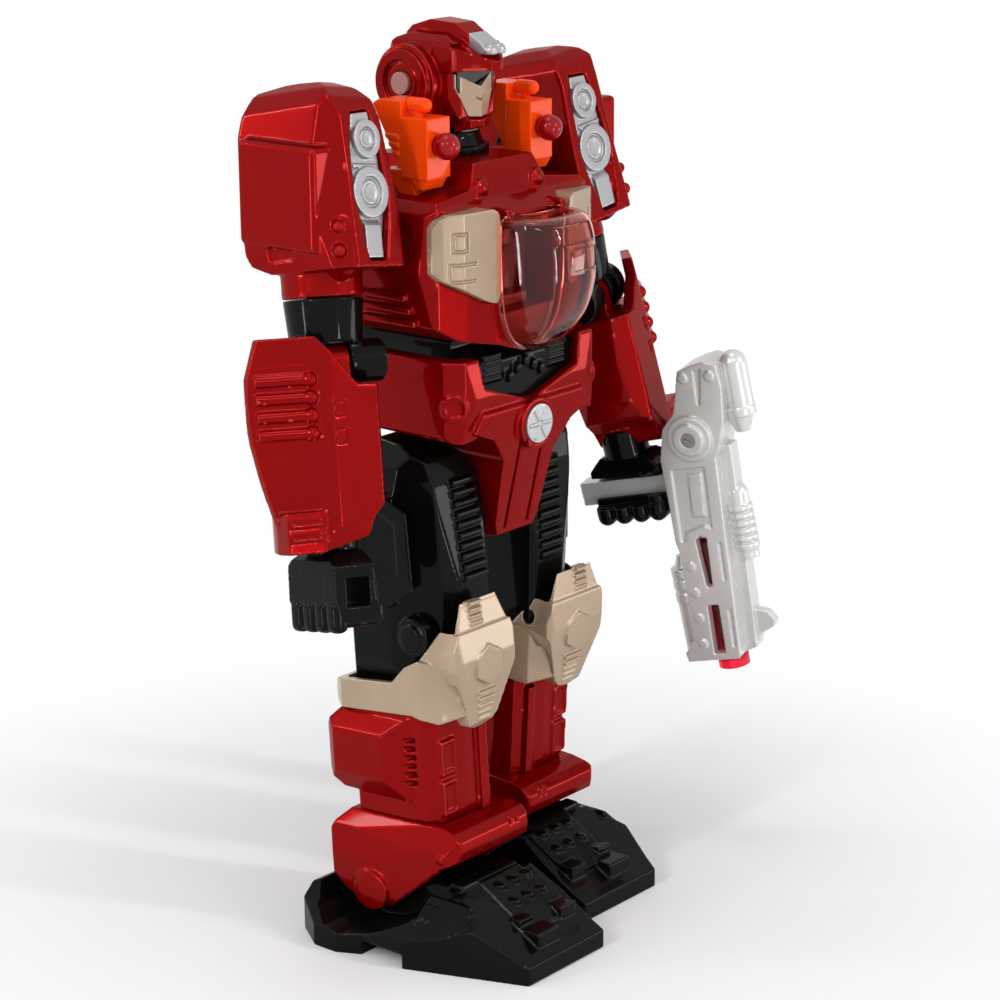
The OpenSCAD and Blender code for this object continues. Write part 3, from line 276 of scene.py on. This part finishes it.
def deselectAll():
    if bpy.context.object and bpy.context.object.mode != "OBJECT":
        bpy.ops.object.mode_set(mode="OBJECT")
    bpy.ops.object.select_all(action="DESELECT")


def applyModifier(obj, kind, **settings):
    mod = obj.modifiers.new(kind, kind)
    for key, value in settings.items():
        setattr(mod, key, value)
    bpy.ops.object.modifier_apply(modifier=mod.name)


def pick(piece):
    deselectAll()
    bpy.context.view_layer.objects.active = piece
    piece.select_set(True)


def addForm(form):
    # one rounded solid: its middle, its full size and its turn, in millimetres and degrees
    place = {"location": [v * mm for v in form["at"]],
             "rotation": [math.radians(v) for v in form.get("turn", (0, 0, 0))]}
    deselectAll()
    if form["kind"] == "ball":
        bpy.ops.mesh.primitive_uv_sphere_add(segments=40, ring_count=24, radius=0.5, **place)
    elif form["kind"] == "drum":
        bpy.ops.mesh.primitive_cylinder_add(vertices=48, radius=0.5, depth=1, **place)
    else:
        bpy.ops.mesh.primitive_cube_add(size=1, **place)
    solid = bpy.context.object
    solid.scale = [v * mm for v in form["size"]]
    bpy.ops.object.transform_apply(location=True, rotation=True, scale=True)
    if "frame" in form:
        solid.data.transform(faceMatrix(*form["frame"]))
    if form["kind"] != "ball":
        applyModifier(solid, "BEVEL", width=form["edge"] * mm, segments=3, limit_method="ANGLE")
    return solid


def faceMatrix(middle, out, up):
    # local x goes into the face, z up along it
    z = Vector(up).normalized()
    x = -Vector(out).normalized()
    turn = Matrix((x, z.cross(x), z)).transposed().to_4x4()
    return Matrix.Translation([v * mm for v in middle]) @ turn


def mirrored(form, shift):
    # the left part is the right one turned about the middle plane and moved along the stride
    x, y, z = form["at"]
    a, b, c = form.get("turn", (0, 0, 0))
    if "frame" not in form:
        return dict(form, at=(-x, y + shift, z), turn=(a, -b, -c))
    middle, out, up = form["frame"]
    frame = ((-middle[0], middle[1] + shift, middle[2]), (-out[0], *out[1:]), (-up[0], *up[1:]))
    return dict(form, at=(x, -y, z), turn=(-a, b, -c), frame=frame)


def fillBox(piece, low, high):
    deselectAll()
    bpy.ops.mesh.primitive_cube_add(size=1, location=[(a + b) / 2 * mm for a, b in zip(low, high)])
    plug = bpy.context.object
    plug.scale = [(b - a) * mm for a, b in zip(low, high)]
    bpy.ops.object.transform_apply(location=True, rotation=True, scale=True)
    pick(piece)
    applyModifier(piece, "BOOLEAN", operation="UNION", object=plug, solver="EXACT")
    bpy.data.objects.remove(plug)


def slopeOff(piece, point, normal):
    pick(piece)
    bpy.ops.object.mode_set(mode="EDIT")
    bpy.ops.mesh.select_all(action="SELECT")
    bpy.ops.mesh.bisect(plane_co=[v * mm for v in point], plane_no=normal, use_fill=True, clear_outer=True)
    bpy.ops.object.mode_set(mode="OBJECT")


def joinForm(piece, form):
    solid = addForm(form)
    pick(piece)
    if form.get("cut"):
        applyModifier(piece, "BOOLEAN", operation="DIFFERENCE", object=solid, solver="EXACT")
        bpy.data.objects.remove(solid)
    else:
        solid.select_set(True)
        bpy.ops.object.join()


def softCopy(name, grain, passes, fill=None):
    # a copy of the part, with its own forms added and its edges rounded
    piece = bpy.data.objects.new("moulded_" + name, nodes[name].data.copy())
    bpy.context.scene.collection.objects.link(piece)
    pick(piece)
    bpy.ops.object.mode_set(mode="EDIT")
    bpy.ops.mesh.select_all(action="SELECT")
    bpy.ops.mesh.remove_doubles(threshold=0.001 * mm)
    bpy.ops.object.mode_set(mode="OBJECT")
    if fill:
        fillBox(piece, *fill)
    for point, normal in slopes.get(name, []):
        slopeOff(piece, point, normal)
    # cuts come before the solids that overlap
    for form in sorted(forms.get(name, []), key=lambda f: not f.get("cut")):
        joinForm(piece, form)
    pick(piece)
    applyModifier(piece, "REMESH", mode="VOXEL", voxel_size=grain * mm, use_smooth_shade=True)
    applyModifier(piece, "SMOOTH", factor=0.5, iterations=passes)
    applyModifier(piece, "DECIMATE", decimate_type="COLLAPSE", ratio=keptShare)
    bpy.ops.object.shade_smooth()
    piece.data.materials.clear()
    piece.data.materials.append(finishOf[slotOf[name]])
    standFor(piece, name)


def standFor(piece, name):
    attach(piece, bodyOf[name])
    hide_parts(name)


# extra moulded shapes in millimetres, given for the right side and mirrored to the left, whose foot stands
# a stride behind; a frame is a face's middle, its outward direction and its up direction
stride = 17.4
armUp = (0.137, 0.19, 0.972)
fist = ((-79, -17.9, 134.2), (-0.9706, 0.234, 0.091), armUp)
armFace = ((-92.8, -10, 195.2), (-0.65, -0.72, 0.23), armUp)
toeSlope = ((-51.3, -35, 18), (-0.65, 0, 0.76), (0.76, 0, 0.65))
knuckle = {"count": 4, "first": 10.2, "pitch": 6.8}
formsRight = {
    "shoulder_pod": [
        {"kind": "block", "at": (-72, 6, 257.5), "size": (8.9, 33, 33), "edge": 1.4},
        {"kind": "ball", "at": (-66, -12.5, 244.2), "size": (14, 15, 25)},
    ],
    "chest_plate": [
        {"kind": "block", "at": (-28.6, -33.57, 240.7), "size": (3.6, 1.6, 7.2), "turn": (0, 0, -13.1),
         "edge": 0.1},
        {"kind": "block", "at": (-31.3, -32.95, 230.9), "size": (1.5, 1.6, 4.3), "turn": (0, 0, -13.1),
         "edge": 0.1},
    ],
    "ankle_cuff": [
        {"kind": "drum", "at": (-47.8, -5.4, 18.6), "size": (13.4, 13.4, 8.4), "turn": (0, 90, 0),
         "edge": 0.7},
    ],
    "hand": [
        {"kind": "block", "at": (-6.6, knuckle["first"] - knuckle["pitch"] * i, -7.4),
         "size": (5.6, 6.5, 10.4), "edge": 2.2, "frame": fist} for i in range(knuckle["count"])
    ],
    "forearm": [
        {"kind": "block", "at": (0.9, 0, 0), "size": (3, 18, 28), "edge": 1.3, "frame": armFace},
    ],
    "foot": [
        {"kind": "block", "at": (0.5, -2.2, 0.2), "size": (2.4, 18.6, 11.6), "edge": 0.9, "frame": toeSlope},
        *[{"kind": "block", "at": (-0.6, 1.5 + 3 * i, -1), "size": (1.6, 1.1, 6), "edge": 0.4,
           "frame": toeSlope} for i in range(2)],
    ],
}
slopesRight = {
    "ankle_cuff": [((-44.5, 0, 44.5), (-0.86, 0, 0.5)), ((-30, 12, 44.5), (0, 0.84, 0.54))],
    "launch_button": [((-27, -11, 275.4), (0, 0, -1))],
}
stepping = ("ankle_cuff", "foot")
forms, slopes = {}, {}
for stem, given in formsRight.items():
    forms[stem + "_right"] = given
    forms[stem + "_left"] = [mirrored(f, stride if stem in stepping else 0) for f in given]
for stem, given in slopesRight.items():
    slopes[stem + "_right"] = given
    slopes[stem + "_left"] = [((-x, y + stride, z), (-a, b, c)) for (x, y, z), (a, b, c) in given]

# collar under the chin
forms["neck_post"] = [{"kind": "drum", "at": (0, 3, 268.6), "size": (25, 25, 3.4), "edge": 0.4}]

# the left fist has no extra knuckles and is open on its inner side, over the blaster's grip
gripGap = {"kind": "block", "at": (8.5, 0, 2.2), "size": (13, 44, 7.6), "cut": True, "edge": 0.4,
           "frame": fist}
forms["hand_left"] = [dict(gripGap, frame=mirrored(gripGap, 0)["frame"])]


def both(stem, *values):
    return {stem + "_left": values, stem + "_right": values}


# grain of the new mesh in millimetres, smoothing passes, and for the chest the hollow behind the canopy's bay
softening = {
    "chest_front": (0.45, 5, ((-34.5, -14.6, 213.5), (34.5, 5.9, 248.4))),
    "chest_back": (0.5, 5, ((-34.5, 6.1, 213.5), (34.5, 24.2, 248.4))),
    "pelvis_shell": (0.45, 6),
    "helmet": (0.28, 7),
    "waist_core": (0.4, 3),
    "face_guard": (0.2, 3),
    "visor_band": (0.2, 3),
    "crest_lamp": (0.2, 4),
    "battery_door": (0.4, 3),
    "neck_post": (0.3, 3),
    "cockpit_tub": (0.4, 3),
    "belt_disc": (0.16, 2),
    "ear_discs": (0.2, 2),
    "blaster_shell": (0.3, 3),
    **both("chest_plate", 0.24, 6),
    **both("launcher", 0.28, 4),
    **both("missile", 0.25, 2),
    **both("launch_button", 0.18, 3),
    **both("shoulder_pod", 0.5, 9),
    **both("lamp_panel", 0.26, 3),
    **both("upper_arm", 0.4, 4),
    **both("forearm", 0.38, 8),
    **both("hand", 0.35, 5),
    **both("thigh", 0.45, 7),
    **both("knee_cap", 0.33, 5),
    **both("shin", 0.45, 6),
    **both("ankle_cuff", 0.45, 7),
    **both("foot", 0.42, 4),
    **both("shoulder_axle", 0.35, 2),
}

bpy.context.scene.view_settings.view_transform = "Standard"
addCamera(cameraSet)
addLamps(lampSet)
print("camera and lamps set")

for name, node in nodes.items():
    node.data.materials.clear()
    node.data.materials.append(finishOf[slotOf[name]])
for name, how in softening.items():
    softCopy(name, *how)
print("moulded parts softened:", len(softening))


# clear canopy: a flat grid bent round into a dome, whose levels give height, half width and depth, and whose
# raised panels give their lowest and highest edge, their sides and how far they stand out
canopy = {"rim": -34.4, "square": 0.72, "wall": 1.0, "around": 72, "up": 64, "smoothing": 10, "step": 0.25,
          "clearOfRim": 3, "crease": 40,
          "levels": [(201.2, 1.5, 1.5), (202.2, 5, 5), (204.6, 9.4, 9.2), (209, 13, 13.8), (214, 15, 17.2),
                     (220, 16.2, 19.6), (226, 16.8, 20.8), (233, 17, 20.9), (239.5, 17, 20),
                     (243.6, 16.8, 18.6), (245.6, 16.2, 17.2), (246.8, 14.6, 15), (247.2, 12, 11),
                     (247.3, 8, 5)],
          "panels": [(238.5, 244.2, -9, 9, 0.5), (229, 236.5, -3, 11, 0.4)]}


def bendDome(shell, c):
    levels = c["levels"]
    for v in shell.data.vertices:
        turn = (v.co.x + 1) / 2 * math.pi
        step = (v.co.y + 1) / 2 * (len(levels) - 1)
        i = min(int(step), len(levels) - 2)
        z, wide, deep = [a + (b - a) * (step - i) for a, b in zip(levels[i], levels[i + 1])]
        across, out = math.cos(turn), math.sin(turn)
        v.co = (wide * math.copysign(abs(across) ** c["square"], across) * mm,
                (c["rim"] - deep * out ** c["square"]) * mm, z * mm)


def raisePanel(shell, c, low, high, sideFrom, sideTo, lift):
    for face in shell.data.polygons:
        x, y, z = (v / mm for v in face.center)
        face.select = low < z < high and sideFrom < x < sideTo and y < c["rim"] - c["clearOfRim"]
    bpy.ops.object.mode_set(mode="EDIT")
    bpy.ops.mesh.select_mode(type="FACE")
    bpy.ops.mesh.inset(thickness=c["step"] * mm, use_boundary=True)
    bpy.ops.transform.shrink_fatten(value=-lift * mm)
    bpy.ops.mesh.select_all(action="DESELECT")
    bpy.ops.object.mode_set(mode="OBJECT")


def makeCanopy(c):
    deselectAll()
    bpy.ops.mesh.primitive_grid_add(x_subdivisions=c["around"], y_subdivisions=c["up"], size=2)
    shell = bpy.context.object
    shell.name = "canopy_dome"
    bendDome(shell, c)
    pick(shell)
    applyModifier(shell, "SMOOTH", factor=0.5, iterations=c["smoothing"])
    bpy.ops.object.mode_set(mode="EDIT")
    bpy.ops.mesh.select_all(action="SELECT")
    bpy.ops.mesh.normals_make_consistent(inside=False)
    bpy.ops.mesh.select_all(action="DESELECT")
    bpy.ops.object.mode_set(mode="OBJECT")
    for panel in c["panels"]:
        raisePanel(shell, c, *panel)
    applyModifier(shell, "SOLIDIFY", thickness=c["wall"] * mm, offset=-1)
    bpy.ops.object.shade_smooth_by_angle(angle=math.radians(c["crease"]))
    shell.data.materials.append(finishOf[slotOf["canopy"]])
    standFor(shell, "canopy")


makeCanopy(canopy)
print("canopy made")


# floor and white surroundings

stageSet = {"floor": 8, "paper": (0.93, 0.96), "fadeFrom": 0.08, "fadeTo": 0.30, "fill": 0.45}


def seenRays(tree):
    # what the camera, a mirror or clear plastic looks at, and not what lights the object
    path = tree.nodes.new("ShaderNodeLightPath")
    camera, glossy, clear = [Wire(tree, path.outputs[f"Is {kind} Ray"])
                             for kind in ("Camera", "Glossy", "Transmission")]
    return camera + glossy + clear


def makeWorld(c):
    world = bpy.data.worlds.new("world")
    world.use_nodes = True
    bpy.context.scene.world = world
    background = world.node_tree.nodes["Background"]
    background.inputs["Color"].default_value = rgb(1, 1, 1)
    strength = seenRays(world.node_tree) * (1 - c["fill"]) + c["fill"]
    world.node_tree.links.new(strength.socket, background.inputs["Strength"])


def makeFloor(c):
    # pale paper near the object, which fades into the white further out
    deselectAll()
    bpy.ops.mesh.primitive_plane_add(size=c["floor"], location=(0, 0, 0))
    floor = bpy.context.object
    floor.name = "floor"
    paper = Finish("floorPaper")
    dull, bright = c["paper"]
    paper.set(Base_Color=paper.mix(paper.noise(0.3, 2), rgb(dull, dull, dull), rgb(bright, bright, bright)),
              Roughness=0.6, Specular_IOR_Level=0.1)
    away = paper.add("VectorMath", {"operation": "LENGTH"}, {0: paper.place}, 1)
    fade = paper.add("MapRange", {"interpolation_type": "SMOOTHSTEP"},
                     {"Value": away, "From Min": c["fadeFrom"], "From Max": c["fadeTo"]})
    glow = paper.add("Emission", {}, {"Color": rgb(1, 1, 1), "Strength": 1.0})
    blend = paper.add("MixShader", {}, {0: fade * seenRays(paper.tree), 2: glow})
    paper.tree.links.new(paper.shader.outputs[0], blend.socket.node.inputs[1])
    paper.tree.links.new(blend.socket, paper.tree.nodes["Material Output"].inputs["Surface"])
    floor.data.materials.append(paper.material)


makeWorld(stageSet)
makeFloor(stageSet)
print("floor and surroundings set")
